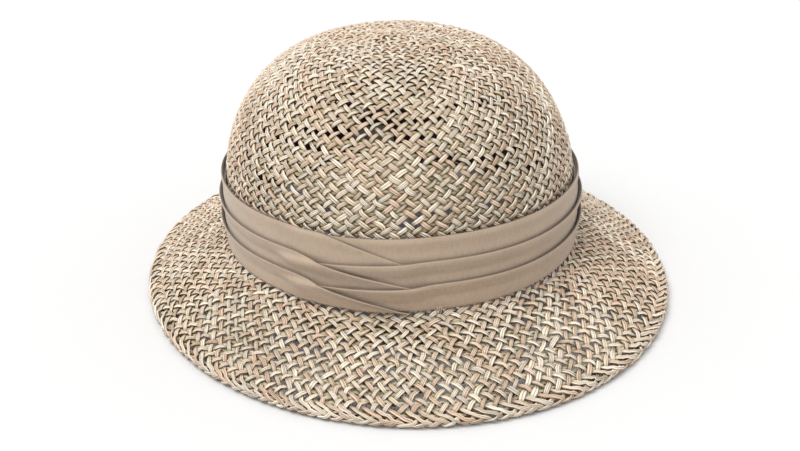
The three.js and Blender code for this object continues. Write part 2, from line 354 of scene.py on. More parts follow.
def sweep(centre, out, width, thick, heights, lean):
    """Rings of points round a strand's path. lean shifts its fibres from side to side."""
    tangent = np.gradient(centre, axis=0)
    tangent /= np.linalg.norm(tangent, axis=1, keepdims=True)
    across = np.cross(tangent, out)
    across /= np.linalg.norm(across, axis=1, keepdims=True)
    up = np.cross(across, tangent)
    shift = lean[:, None] * (1 - ACROSS[None] ** 2)
    x = (ACROSS[None] + shift) * width[:, None] / 2
    y = heights[None] * thick[:, None] / 2
    return centre[:, None] + x[..., None] * across[:, None] + y[..., None] * up[:, None]


def link_mesh(name, points, faces, material, attributes):
    """A smooth mesh object. A row of four corners that repeats its last one is a triangle."""
    sizes = np.where(faces[:, 2] == faces[:, 3], 3, 4)
    starts = np.concatenate([[0], np.cumsum(sizes)[:-1]])
    corners = faces.reshape(-1)[(np.arange(4)[None] < sizes[:, None]).reshape(-1)]
    mesh = bpy.data.meshes.new(name)
    mesh.vertices.add(len(points))
    mesh.vertices.foreach_set("co", points.astype(np.float32).reshape(-1))
    mesh.loops.add(len(corners))
    mesh.loops.foreach_set("vertex_index", corners.astype(np.int32))
    mesh.polygons.add(len(faces))
    mesh.polygons.foreach_set("loop_start", starts.astype(np.int32))
    mesh.update(calc_edges=True)
    mesh.validate()
    mesh.shade_smooth()
    for word, values in attributes.items():
        flat = values.astype(np.float32).reshape(-1)
        if values.ndim == 2:
            mesh.attributes.new(word, "FLOAT_VECTOR", "POINT").data.foreach_set("vector", flat)
        else:
            mesh.attributes.new(word, "FLOAT", "POINT").data.foreach_set("value", flat)
    piece = bpy.data.objects.new(name, mesh)
    bpy.context.collection.objects.link(piece)
    mesh.materials.append(material)
    return piece


class Batch:
    """Collects swept strands into one mesh, with each point's place in its strand."""

    def __init__(self):
        self.points, self.faces, self.places, self.hues, self.shades = [], [], [], [], []
        self.count = 0

    def add(self, rings, along, hue, grooves, height):
        n, m = rings.shape[:2]
        base = self.count + np.arange(n)[:, None] * m + np.arange(m)[None]
        following = np.roll(base, -1, axis=1)
        sides = np.stack([base[:-1], following[:-1], following[1:], base[1:]], -1)
        self.faces.append(sides.reshape(-1, 4))
        for cap in (base[0, ::-1], base[-1]):
            self.faces.append(np.stack([np.full(m - 2, cap[0]), cap[1:-1], cap[2:], cap[2:]], -1))
        tone = np.full(n * m, rng.random())
        self.points.append(rings.reshape(-1, 3))
        self.places.append(np.stack([np.repeat(along, m), np.tile(ACROSS, n), tone], -1))
        self.hues.append(np.full(n * m, hue))
        self.shades.append(np.stack([np.tile(grooves, n), np.repeat(height, m), tone], -1))
        self.count += n * m

    def build(self, name, material):
        attributes = dict(
            strand_place=np.concatenate(self.places),
            strand_hue=np.concatenate(self.hues),
            strand_shade=np.concatenate(self.shades),
        )
        points, faces = np.concatenate(self.points), np.concatenate(self.faces)
        return link_mesh(name, points, faces, material, attributes)


# How a strand varies along its way: the spacing of its changes in points, and their size.
WIDTH_WANDER, THICK_WANDER, LEAN_WANDER = (6, 0.1), (5, 0.08), (6, 0.16)
CREST_WIDER = 0.1  # how much wider a strand is where it passes over another
END_TAPER = 0.5
EDGE_NARROWS_OVER, EDGE_WIDTH = 1.5 * MM, 0.82
SHORTEST = 0.2 * MM
PATTERN_SHIFT = 3  # metres: each strand's markings start somewhere else in this length


def wander(n, scale, size):
    """A smooth random line of n values."""
    knots = rng.standard_normal(max(2, int(n / scale) + 2))
    return size * np.interp(np.arange(n) / scale, np.arange(len(knots)), knots)


def add_strand(batch, length, angle, height, width, thick, section, cuts=SUBSTEPS):
    """Sweeps a strand through its knots, uneven along its way and narrower at its ends."""
    length = smooth_between(length, cuts)
    angle = smooth_between(angle, cuts)
    height = waved_between(height, cuts)
    length = np.clip(length, SHORTEST, LENGTH_TO_END)
    out = out_of_hat(length, angle)
    centre = on_hat(length, angle) + out * height[:, None]
    along = length_along(centre)
    n = len(centre)
    taper = np.ones(n)
    taper[[0, -1]] = END_TAPER
    width = width * taper * (1 + CREST_WIDER * np.sign(height) + wander(n, *WIDTH_WANDER))
    width *= np.interp(length, (LENGTH_TO_EDGE, LENGTH_TO_EDGE + EDGE_NARROWS_OVER), (1, EDGE_WIDTH))
    thick = thick * taper * (1 + wander(n, *THICK_WANDER))
    heights, grooves = section
    rings = sweep(centre, out, width, thick, heights, wander(n, *LEAN_WANDER))
    batch.add(rings, along + PATTERN_SHIFT * rng.random(), rng.random(), grooves, height / WAVE)


def build_weave(material):
    """The strands that run down to the right and to the left, in four groups each, round the hat."""
    pieces = []
    for side, word in ((0, "right"), (1, "left")):
        chains = strands(side)
        order = np.argsort([rows[c[0][0]]["angle"][c[0][1]] for c in chains], kind="stable")
        reached = np.cumsum([len(chains[c]) for c in order])
        groups = np.split(order, np.searchsorted(reached, reached[-1] * np.arange(1, 4) / 4))
        for number, group in enumerate(groups):
            batch = Batch()
            for c in group:
                length, angle, height = strand_nodes(chains[c], side)
                width = STRAND_WIDTH * np.clip(1 + STRAND_SPREAD * rng.standard_normal(), *STRAND_LIMITS)
                height = height + HEIGHT_SPREAD * rng.standard_normal(len(height))
                thick = STRAND_THICK * (1 + THICK_SPREAD * rng.standard_normal())
                section = THREE_FIBRES if rng.random() < THREE_FIBRE_SHARE else TWO_FIBRES
                add_strand(batch, length, angle, height, width, thick, section)
            pieces.append(batch.build(f"strands_to_the_{word}_{number + 1}", material))
    return pieces


def build_fillers(material):
    """Inner strands that run round the hat, under the crossings, and swell out in the holes."""
    crown, brim = (Batch(), Batch()), (Batch(), Batch())
    for i in range(2, len(rows)):
        if LENGTH_TO_BAND + BAND_HIDES < row_at[i] < LENGTH_TO_BREAK - BAND_HIDES:
            continue
        batch = (crown if row_at[i] < LENGTH_TO_BREAK - BAND_HIDES else brim)[i % 2]
        n = len(rows[i]["angle"])
        start, done = int(rng.integers(0, n)), 0
        while done < n:
            run = min(int(rng.integers(1, INNER_RUN)), n - done)
            which = (start + np.arange(run + 1)) % n
            start, done = start + run, done + run
            if rng.random() > INNER_SHARE:
                continue
            halves = np.arange(2 * run + 1) / 2
            angle = np.interp(halves, np.arange(run + 1), np.unwrap(rows[i]["shake"][which]))
            hole = np.arange(len(angle)) % 2
            length = row_at[i] + INNER_DOWN_SPREAD * rng.standard_normal(len(angle))
            height = np.where(hole, HOLE_HEIGHT, UNDER_HEIGHT)
            height = height + INNER_HEIGHT_SPREAD * rng.standard_normal(len(angle))
            add_strand(
                batch, length, angle, height, INNER_WIDTH, INNER_THICK, ONE_FIBRE, INNER_SUBSTEPS
            )
    return [
        batch.build(f"inner_{word}_strands_{number + 1}", material)
        for word, pair in (("crown", crown), ("brim", brim))
        for number, batch in enumerate(pair)
    ]


# ---- Cloth: folded strips round the hat -----------------------------------------------------
PLY = 0.4 * MM
STEP_DEG = 1.5
LAYER_GAP = 0.06 * MM
LINING_A = wall_high[0] - 0.05 * MM
LINING_THICK = 0.5 * MM
LINING_SHORT = 1.6 * MM  # the lining ends this far under the frame's, out of sight
ROUND_STEPS = 192
TIER_TOPS = (BAND_TOP_Z - 0.3 * MM, 45.3 * MM, 34.3 * MM)
STRIP_FOOT = BAND_FOOT_Z - 0.7 * MM
STRIP_DEPTH = 15.4 * MM
STACK_FOOT, STACK_TOP, STACK_CELL, STACK_STEP = 19 * MM, 59 * MM, 0.4 * MM, 0.5
STACK_Z = np.arange(STACK_FOOT, STACK_TOP, STACK_CELL)
STACK_DEG = np.arange(0, 360, STACK_STEP)
BRIDGE_DOWN, BRIDGE_ROUND = (3, 1.5), (4, 4.0)  # cells that cloth bridges, then cells it softens over
SWELL_AT, SWELL = (0, 0.12, 0.42, 0.75, 1.0), (0.55, 1.0, 0.25, 0.6, 0.05)
SWELL_DEPTH, LEAST_SWELL = 6 * MM, 0.25  # a strip that is less deep than this swells less
LEVELS, LEVEL_POWER = 15, 1.15  # points down a strip's face, closer together near the fold


def round_hat(a, deg, z):
    """A point that far out from the middle line, in the band's oval."""
    angle = np.radians(deg)
    return np.stack([a * np.sin(angle), CROWN_Y - (a + CROWN_OVAL) * np.cos(angle), z], -1)


def grid_faces(n, m, closed_n, closed_m):
    index = np.arange(n * m).reshape(n, m)
    if closed_n:
        index = np.concatenate([index, index[:1]])
    if closed_m:
        index = np.concatenate([index, index[:, :1]], axis=1)
    quads = np.stack([index[:-1, :-1], index[1:, :-1], index[1:, 1:], index[:-1, 1:]], -1)
    return quads.reshape(-1, 4)


def end_caps(n, m):
    """The faces that close both ends of a grid whose sections fold back on themselves."""
    caps = []
    for end in (0, n - 1):
        a = end * m + np.arange(m // 2)
        b = end * m + m - 1 - np.arange(m // 2)
        cap = np.stack([a[:-1], a[1:], b[1:], b[:-1]], -1)
        caps.append(cap if end else cap[:, ::-1])
    return caps


def place_of(along, run, crease_shade):
    """Each point's place in its cloth: along it, round its section, and crease: the share of painted
    shade it gets in the crevice behind a fold.
    """
    return np.stack(np.broadcast_arrays(along, run, crease_shade), -1).reshape(-1, 3)


def neighbours(values, reach, axis):
    """The values moved by each step up to that far either way. They wrap only round the hat."""
    pad = [(0, 0), (0, 0)]
    pad[axis] = (reach, reach)
    padded = np.pad(values, pad, mode="wrap" if axis == 0 else "edge")
    return [np.take(padded, np.arange(values.shape[axis]) + k, axis=axis) for k in range(2 * reach + 1)]


def widest(values, reach, axis):
    return np.max(neighbours(values, reach, axis), axis=0)


def softened(values, sigma, axis):
    reach = int(3 * sigma)
    weights = np.exp(-(np.arange(-reach, reach + 1) ** 2) / (2 * sigma * sigma))
    weights /= weights.sum()
    return sum(weight * moved for weight, moved in zip(weights, neighbours(values, reach, axis)))


def settled(stack):
    """Where a cloth laid over the stack would lie: it bridges the steps instead of following them."""
    over = softened(widest(stack, BRIDGE_DOWN[0], 1), BRIDGE_DOWN[1], 1)
    return softened(widest(over, BRIDGE_ROUND[0], 0), BRIDGE_ROUND[1], 0)


def mark_stack(stack, column, z, face):
    """Raises the stack to the outer face of what has been laid."""
    for k, c in enumerate(column):
        level = np.interp(STACK_Z, z[k, ::-1], face[k, ::-1], left=0, right=0)
        for near in (c - 1, c, (c + 1) % len(STACK_DEG)):
            stack[near] = np.maximum(stack[near], level)


FOLD_POWER, FOLD_POINTS, LIFT_POWER = 3, 9, 1.5
EARLY_DEG, LATE_DEG = 90, 180  # a strip's start is laid first, then its late part over that


def strip_section(base, face, z, inset):
    """One face of a folded ply: up the front, over the fold and down the back."""
    fold = (face[:, :1] - base[:, :1]) / 2
    level = z - fold * np.linspace(1, 0, z.shape[1]) ** FOLD_POWER
    turn = np.radians(np.linspace(0, 180, FOLD_POINTS))[1:-1]
    arc_a = base[:, :1] + fold + (fold - inset) * np.cos(turn)
    arc_z = level[:, :1] + (fold - inset) * np.sin(turn)
    front = np.stack([face - inset, level], -1)[:, ::-1]
    back = np.stack([base + inset, level], -1)
    return np.concatenate([front, np.stack([arc_a, arc_z], -1), back], axis=1)


def folded_strip(name, stack, shape, material):
    """A strip of cloth folded double, its fold up, laid once round the band and over its own start."""
    deg, top, foot, loose, lift = shape
    column = np.round(deg / STACK_STEP).astype(int) % len(STACK_DEG)
    down = np.linspace(0, 1, LEVELS) ** LEVEL_POWER
    z = top[:, None] - down * (top - foot)[:, None]
    depth = np.clip((top - foot) / SWELL_DEPTH, LEAST_SWELL, 1)
    room = loose[:, None] * np.interp(down, SWELL_AT, SWELL) * depth[:, None]

    def lay():
        reach = settled(stack)
        base = np.stack([np.interp(z[k], STACK_Z, reach[c]) for k, c in enumerate(column)])
        base += LAYER_GAP + lift * np.clip(1 - down / LIFT_SHARE, 0, 1) ** LIFT_POWER
        return base, base + 2 * PLY + room

    base, face = lay()
    early, late = deg < deg[0] + EARLY_DEG, deg > deg[0] + LATE_DEG
    mark_stack(stack, column[early], z[early], face[early])
    late_base, late_face = lay()
    base[late], face[late] = late_base[late], late_face[late]
    mark_stack(stack, column[~early], z[~early], face[~early])

    outside, inside = strip_section(base, face, z, 0.0), strip_section(base, face, z, PLY)
    section = np.concatenate([outside, inside[:, ::-1]], axis=1)
    points = round_hat(section[..., 0], deg[:, None], section[..., 1])
    n, m = section.shape[:2]
    faces = np.concatenate([grid_faces(n, m, False, True), *end_caps(n, m)])
    along, run = length_along(points[:, 0]), length_along(section[n // 2])
    # Painted shade: none on the strip's front, rising over the fold to full on its back ply, seen in the
    # crevice behind each fold.
    shade = np.concatenate([np.zeros(len(down)), FOLD_SHADE, np.ones(len(down))])
    crease_shade = np.concatenate([shade, shade[::-1]]) + points[..., 0] * 0
    place = place_of(along[:, None], run, crease_shade)
    piece = link_mesh(name, points.reshape(-1, 3), faces, material, dict(cloth_place=place))
    return piece, along[-1]


# For each strip: where its end starts to fall, where it has fallen a tier, and how it bends there;
# then where the strip begins under that end, and how far the end runs on. Degrees from the front.
FALLS = ((-32, -11.5, 1.1), (-41, -10, 1.1), (-43, -9, 1.35))
BEGINS = (-39, -43, -41)
OVERRUN = 1.3  # how far a strip keeps falling past the tier below
SAG_WAVES = ((3, 1.2, 0.0, 0.2 * MM), (7, 0.0, 0.7, 0.1 * MM))  # per turn, shift by tier, shift, size
SAG_FADE, DIP_POWER = 4, 1.5
TUCK_FROM, TUCK_OVER, TUCK_DEPTH = 0.88, 0.2, 1.6 * MM  # the lowest strip's end goes under the band
LEAST_DEPTH = 1.3 * MM
SLACK_DEG, SLACK = (0, 30, 200, 300, 360), (0.2, 0.85, 0.7, 0.5, 0.32)
TAILS = (4, 4, 2)
START_DIPS, DIP_DEG = (1.3 * MM, 4.5 * MM, 4.5 * MM), 45  # a strip's start lies lower, under its end
FOLD_SHADE = (0.05, 0.22, 0.55, 0.9, 1, 1, 1)  # how much painted shade the fold gets, from its front to its back
FOLD_LIFTS, LIFT_SHARE = (0.25 * MM, 0.9 * MM, 0.9 * MM), 0.3  # how far a fold stands off


def strip_shape(tier):
    """A strip's steps, top, foot and slack: level, then falling where it crosses its own start."""
    top = TIER_TOPS[tier]
    below = TIER_TOPS[tier + 1] if tier < 2 else STRIP_FOOT
    start, end, power = FALLS[tier]
    deg = np.arange(BEGINS[tier], 360 + end + TAILS[tier], STEP_DEG)
    gone = np.clip((deg - 360 - start) / (end - start), 0, OVERRUN) ** power
    turn = np.radians(deg)
    wave = sum(size * np.sin(per * turn + by * tier + at) for per, by, at, size in SAG_WAVES)
    high = top - (top - below) * gone + wave * np.clip(1 - SAG_FADE * gone, 0, 1)
    high -= START_DIPS[tier] * np.clip(1 - (deg - BEGINS[tier]) / DIP_DEG, 0, 1) ** DIP_POWER
    tuck = TUCK_DEPTH * np.clip((gone - TUCK_FROM) / TUCK_OVER, 0, 1) * (tier == 2)
    low = np.maximum(high - STRIP_DEPTH, STRIP_FOOT - tuck)
    high = np.maximum(high, low + LEAST_DEPTH)
    loose = np.interp(deg, BEGINS[tier] + np.array(SLACK_DEG), SLACK)
    return deg, high, low, loose * MM, FOLD_LIFTS[tier]


def build_band(material):
    """Three folded strips from the top down, each over the one before."""
    stack = np.full((len(STACK_DEG), len(STACK_Z)), LINING_A)
    for tier, word in enumerate(("top", "middle", "bottom")):
        shape = strip_shape(tier)
        piece, length = folded_strip(f"band_{word}_strip", stack, shape, material)
        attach(piece, "root")
        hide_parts(f"band_{word}_pleat")


def closed_ring(name, section, steps, material):
    """A closed strip round the hat with that cross-section, as corners of distance out and height."""
    deg = np.linspace(0, 360, steps, endpoint=False)
    points = round_hat(section[None, :, 0], deg[:, None], section[None, :, 1] + 0 * deg[:, None])
    along = np.radians(deg) * (CROWN_A + CROWN_OVAL / 2)
    place = place_of(along[:, None], length_along(section), 0 * points[..., 0])
    faces = grid_faces(steps, len(section), True, True)
    return link_mesh(name, points.reshape(-1, 3), faces, material, dict(cloth_place=place))


def round_thread(name, path, radius, material):
    """A closed thread along a ring of points, of six sides."""
    tangent = np.roll(path, -1, axis=0) - np.roll(path, 1, axis=0)
    tangent /= np.linalg.norm(tangent, axis=1, keepdims=True)
    side = np.cross(tangent, (0, 0, 1.0))
    side /= np.linalg.norm(side, axis=1, keepdims=True)
    up = np.cross(side, tangent)
    turn = np.radians(np.arange(0, 360, 60))
    ring = path[:, None] + radius * (
        np.cos(turn)[None, :, None] * side[:, None] + np.sin(turn)[None, :, None] * up[:, None]
    )
    place = place_of(length_along(path)[:, None], turn[None] * radius, 0 * ring[..., 0])
    faces = grid_faces(len(path), len(turn), True, True)
    return link_mesh(name, ring.reshape(-1, 3), faces, material, dict(cloth_place=place))


def build_lining(material):
    """The stiff strip that the pleats lie on."""
    inner, outer = LINING_A - LINING_THICK, LINING_A
    low, high = wall_low[2], wall_high[2] - LINING_SHORT
    section = np.array([(inner, low), (outer, low), (outer, high), (inner, high)])
    piece = closed_ring("band_lining_strip", section, ROUND_STEPS, material)
    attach(piece, "root")
    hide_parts("band_lining")


TAPE_THICK, TAPE_EASE, TAPE_LEVELS = 0.8 * MM, 0.5 * MM, 10
TAPE_STITCHES, HEM_STITCHES, STITCH_POINTS = 170, 190, 6
TAPE_SEAM_UP, TAPE_THREAD_OUT, TAPE_THREAD = 1.4 * MM, 0.15 * MM, 0.22 * MM
HEM_THREAD_IN, HEM_DIP, HEM_THREAD = 0.4 * MM, 1.5 * MM, 0.25 * MM
TAPE_SQUARE, HEM_SQUARE = 2.5, 2.0  # how squarely a thread turns from one side to the other
HALF_ROUND = np.radians(np.linspace(180, 360, 7))


def build_sweatband(material, thread):
    """The cotton tape inside the opening, with a rounded foot and stitches that hold it."""
    outer = sweat_high[0]
    low, high = sweat_low[2], sweat_high[2]
    thick, turn = TAPE_THICK, HALF_ROUND
    radius = thick / 2
    foot = np.stack([outer - radius + radius * np.cos(turn), low + radius + radius * np.sin(turn)], 1)
    z = np.linspace(low + thick, high - thick, TAPE_LEVELS)
    ease = TAPE_EASE * np.sin(np.linspace(0, math.pi, TAPE_LEVELS))
    up = np.stack([outer - 0 * z, z], 1)
    head = foot[::-1].copy()
    head[:, 1] = high - radius - radius * np.sin(turn[::-1])
    down = np.stack([outer - thick - ease[::-1], z[::-1]], 1)
    section = np.concatenate([foot, up, head, down])
    piece = closed_ring("sweatband_tape", section, ROUND_STEPS, material)
    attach(piece, "root")
    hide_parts("sweatband")
    deg = np.linspace(0, 360, TAPE_STITCHES * STITCH_POINTS, endpoint=False)
    swing = np.sin(np.radians(deg) * TAPE_STITCHES)
    a = outer - radius - (radius + TAPE_THREAD_OUT) * np.tanh(TAPE_SQUARE * swing)
    path = round_hat(a, deg, low + TAPE_SEAM_UP + 0 * deg)
    sewing = round_thread("sweatband_stitches", path, TAPE_THREAD, thread)
    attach(sewing, "root")
    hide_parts("sweatband_thread")


def build_hem_stitches(thread):
    """The thread that holds the turned hem up against the brim, seen from below as short dashes."""
    low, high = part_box("edge_thread")
    middle = (low[2] + high[2]) / 2
    a, oval = high[0] - HEM_THREAD_IN, high[1] - high[0]
    turn = np.linspace(0, TURN, HEM_STITCHES * STITCH_POINTS, endpoint=False)
    dip = HEM_DIP * np.tanh(HEM_SQUARE * np.sin(turn * HEM_STITCHES))
    path = np.stack([a * np.sin(turn), -(a + oval) * np.cos(turn), middle + dip], -1)
    sewing = round_thread("hem_stitches", path, HEM_THREAD, thread)
    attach(sewing, "root")
    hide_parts("edge_thread")


TACK_COUNT, TACK_POINTS = 3, 9
TACK_APART, TACK_SLANT = 0.55, 0.25  # degrees
TACK_RISE, TACK_START, TACK_LENGTH = 3.2 * MM, -0.6 * MM, 4 * MM
TACK_IN, TACK_ARCH, TACK_THREAD = 1.35 * MM, 0.9 * MM, 0.42 * MM


def build_tacks(thread):
    """Groups of short stitches over the band's foot that hold it to the crown."""
    for word in ("front", "right", "back", "left"):
        low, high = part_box(f"band_tack_{word}")
        middle = (Vector(low) + Vector(high)) / 2
        angle = math.degrees(math.atan2(middle.x, CROWN_Y - middle.y))
        batch = Batch()
        for k in range(TACK_COUNT):
            t = np.linspace(0, 1, TACK_POINTS)
            deg = angle + (k - 1) * TACK_APART + TACK_SLANT * t
            z = STRIP_FOOT + TACK_START + TACK_RISE * t
            a = BREAK_A - TACK_IN + TACK_ARCH * np.sin(np.pi * t) ** 0.5
            centre = round_hat(a, deg, z)
            out = np.stack([np.sin(np.radians(deg)), -np.cos(np.radians(deg)), 0 * deg], -1)
            heights, grooves = ONE_FIBRE
            rings = sweep(centre, out, TACK_THREAD + 0 * t, TACK_THREAD + 0 * t, heights, 0 * t)
            batch.add(rings, t * TACK_LENGTH, 0.5, grooves, 0 * t)
        piece = batch.build(f"tack_stitches_{word}", thread)
        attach(piece, "root")
        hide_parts(f"band_tack_{word}")


LABEL_PLY, LABEL_ROOM, LABEL_FLAT, LABEL_UP = 0.22 * MM, 0.24 * MM, 0.6, 0.4 * MM
LABEL_COLUMNS, LABEL_LEVELS = 17, 8


def build_label(material):
    """A blank tape label folded double and sewn to the back of the sweatband."""
    back = label_low[1]
    width, height = label_high[0] - label_low[0], label_high[2] - label_low[2]
    ply, room, turn = LABEL_PLY, LABEL_ROOM, HALF_ROUND
    x = np.linspace(-width / 2, width / 2, LABEL_COLUMNS)
    rise = np.linspace(0, 1, LABEL_LEVELS)
    outer_y = np.concatenate([0 * rise, room * (1 + np.cos(turn[1:-1])), 2 * room + 0 * rise])
    outer_z = np.concatenate([height * rise[::-1], room * np.sin(turn[1:-1]), height * rise])
    inner_y = np.clip(outer_y, ply * 0.5, 2 * room - ply * 0.5)
    inner_z = outer_z + np.concatenate([0 * rise, ply * 0.5 + 0 * turn[1:-1], 0 * rise])
    y = np.concatenate([outer_y, inner_y[::-1]])
    z = np.concatenate([outer_z, inner_z[::-1]])
    bow = np.sqrt(1 - (x / sweat_high[0]) ** 2)
    deep = back + (CROWN_OVAL + sweat_high[0]) * (bow - 1)
    points = np.stack(
        [
            np.broadcast_to(x[:, None], (len(x), len(y))),
            deep[:, None] + y[None] * LABEL_FLAT,
            np.broadcast_to(label_low[2] + LABEL_UP + z[None], (len(x), len(y))),
        ],
        -1,
    )
    n, m = points.shape[:2]
    faces = np.concatenate([grid_faces(n, m, False, True), *end_caps(n, m)])
    place = place_of(x[:, None], z[None], 0 * points[..., 0])
    piece = link_mesh("blank_label", points.reshape(-1, 3), faces, material, dict(cloth_place=place))
    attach(piece, "root")
    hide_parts("size_label")


# ---- Materials ----------------------------------------------------------------------------
class Nodes:
    """Short calls that make and link a material's nodes."""

    def __init__(self, name):
        self.material = bpy.data.materials.new(name)
        self.material.use_nodes = True
        self.tree = self.material.node_tree
        self.shader = self.tree.nodes["Principled BSDF"]

    def node(self, kind, **settings):
        n = self.tree.nodes.new(kind)
        for key, value in settings.items():
            setattr(n, key, value)
        return n

    def put(self, value, socket):
        if isinstance(value, bpy.types.NodeSocket):
            self.tree.links.new(value, socket)
        else:
            socket.default_value = value

    def math(self, operation, a, b=0.0, c=0.0):
        n = self.node("ShaderNodeMath", operation=operation)
        for value, socket in zip((a, b, c), n.inputs):
            self.put(value, socket)
        return n.outputs[0]

    def mix(self, factor, a, b, blend="MIX"):
        n = self.node("ShaderNodeMix", data_type="RGBA", blend_type=blend)
        for value, socket in ((factor, n.inputs[0]), (a, n.inputs[6]), (b, n.inputs[7])):
            self.put(value, socket)
        return n.outputs[2]

    def noise(self, scale, vector=None, detail=2.0):
        n = self.node("ShaderNodeTexNoise")
        n.inputs["Scale"].default_value = scale
        n.inputs["Detail"].default_value = detail
        if vector is not None:
            self.put(vector, n.inputs["Vector"])
        return n.outputs["Fac"]

    def attribute(self, name, output="Vector"):
        return self.node("ShaderNodeAttribute", attribute_name=name).outputs[output]

    def ramp(self, value, stops):
        n = self.node("ShaderNodeValToRGB")
        self.put(value, n.inputs[0])
        ramp = n.color_ramp
        while len(ramp.elements) < len(stops):
            ramp.elements.new(0.5)
        for element, (at, colour) in zip(ramp.elements, stops):
            element.position = at
            element.color = colour
        return n.outputs["Color"]

    def vector(self, x, y, z=0.0):
        n = self.node("ShaderNodeCombineXYZ")
        for value, socket in zip((x, y, z), n.inputs):
            self.put(value, socket)
        return n.outputs[0]

    def stretched(self, scales, *values):
        """A vector of the values, each times its scale."""
        return self.vector(*(self.math("MULTIPLY", v, scale) for v, scale in zip(values, scales)))

    def split(self, vector):
        n = self.node("ShaderNodeSeparateXYZ")
        self.put(vector, n.inputs[0])
        return n.outputs

    def finish(self, colour, roughness, height, bump, reach, sheen=0.0):
        self.put(colour, self.shader.inputs["Base Color"])
        self.put(roughness, self.shader.inputs["Roughness"])
        self.shader.inputs["Sheen Weight"].default_value = sheen
        b = self.node("ShaderNodeBump")
        b.inputs["Strength"].default_value = bump
        b.inputs["Distance"].default_value = reach
        self.put(height, b.inputs["Height"])
        self.put(b.outputs[0], self.shader.inputs["Normal"])
        return self.material


def srgb(r, g, b):
    """The linear colour of an 8-bit one."""
    return tuple(((v / 255 + 0.055) / 1.055) ** 2.4 for v in (r, g, b)) + (1.0,)


DRIFT_ALONG, DRIFT_TONE, DRIFT_SIZE = 26, 90, 1.1
FIBRE_SCALE, FIBRE_MIX = (45, 2.2, 40), 0.75  # along, across and from strand to strand
HAIR_SCALE, HAIR_MIX = (160, 9, 70), 0.55
GROOVE_POWER, GROOVE_MIX, UNDER_MIX, GROOVE_RELIEF = 2.2, 0.75, 0.9, 0.6
STRAW_ROUGHNESS, HAIR_ROUGHNESS, STRAW_SPECULAR = 0.45, 0.3, 0.3
STRAW_BUMP, STRAW_BUMP_REACH = 0.6, 0.25 * MM
STRAW_TONES = (
    (0.00, srgb(226, 200, 176)),
    (0.14, srgb(234, 212, 190)),
    (0.35, srgb(240, 224, 203)),
    (0.60, srgb(245, 233, 213)),
    (0.85, srgb(250, 242, 227)),
    (1.00, srgb(224, 213, 196)),
)
FIBRE_TONES = (
    (0.32, (0.64, 0.55, 0.46, 1)),
    (0.48, (0.98, 0.95, 0.91, 1)),
    (0.62, (1.12, 1.12, 1.12, 1)),
)
HAIR_TONES = ((0.30, (0.5, 0.42, 0.34, 1)), (0.52, (1, 1, 1, 1)))
# Painted shade: the first colour darkens the grooves between the fibres and a strand's edges and
# underside, the second darkens a strand where it dips under its neighbours.
GROOVE_SHADE = (0.12, 0.07, 0.04, 1)
UNDER_SHADE = (0.17, 0.10, 0.06, 1)
INNER_TONES = (
    (0.00, srgb(166, 158, 120)),
    (0.50, srgb(190, 181, 144)),
    (1.00, srgb(214, 202, 172)),
)
# Painted shade for the inner strands: on their edges and underside, and where they pass under the
# crossings.
INNER_GROOVE_SHADE = (0.22, 0.17, 0.10, 1)
INNER_UNDER_SHADE = (0.30, 0.25, 0.16, 1)
LIT, INNER_LIT = (-1.1, 0.35), (-2.6, -1.2)  # strand heights, in waves, from full shade to none


def straw_material(name, tones, groove_shade_colour, under_shade_colour, lit_from, lit_to):
    """Split seagrass: uneven tones and fine hairs along it, with painted shade in its grooves, at its
    edges and underside, and where it dips under other strands.
    """
    m = Nodes(name)
    along, across, tone = m.split(m.attribute("strand_place"))
    groove, height, _ = m.split(m.attribute("strand_shade"))
    drift_at = m.vector(
        m.math("MULTIPLY", along, DRIFT_ALONG), m.math("MULTIPLY", tone, DRIFT_TONE), across
    )
    drift = m.math("MULTIPLY_ADD", m.noise(1.0, drift_at, 1.0), DRIFT_SIZE, -DRIFT_SIZE / 2)
    base = m.ramp(m.math("ADD", m.attribute("strand_hue", "Fac"), drift), tones)
    fibre_tone = m.noise(1.0, m.stretched(FIBRE_SCALE, along, across, tone), 1.0)
    colour = m.mix(FIBRE_MIX, base, m.ramp(fibre_tone, FIBRE_TONES), "MULTIPLY")
    hairs = m.noise(1.0, m.stretched(HAIR_SCALE, along, across, tone))
    colour = m.mix(HAIR_MIX, colour, m.ramp(hairs, HAIR_TONES), "MULTIPLY")
    # Painted shade in the grooves between the fibres and on the strand's edges and underside.
    sunk = m.math("POWER", groove, GROOVE_POWER)
    colour = m.mix(m.math("MULTIPLY", sunk, GROOVE_MIX), colour, groove_shade_colour, "MULTIPLY")
    # Painted shade where the strand dips under its neighbours, by how low it lies.
    lift = m.node("ShaderNodeMapRange", clamp=True)
    m.put(height, lift.inputs["Value"])
    lift.inputs["From Min"].default_value = lit_from
    lift.inputs["From Max"].default_value = lit_to
    under = m.ramp(lift.outputs[0], ((0, under_shade_colour), (1, (1, 1, 1, 1))))
    colour = m.mix(UNDER_MIX, colour, under, "MULTIPLY")
    rough = m.math("MULTIPLY_ADD", hairs, HAIR_ROUGHNESS, STRAW_ROUGHNESS)
    relief = m.math("MULTIPLY_ADD", groove, -GROOVE_RELIEF, hairs)
    m.shader.inputs["Specular IOR Level"].default_value = STRAW_SPECULAR
    return m.finish(colour, rough, relief, STRAW_BUMP, STRAW_BUMP_REACH)


straw = straw_material("straw", STRAW_TONES, GROOVE_SHADE, UNDER_SHADE, *LIT)
inner_straw = straw_material("inner_straw", INNER_TONES, INNER_GROOVE_SHADE, INNER_UNDER_SHADE, *INNER_LIT)


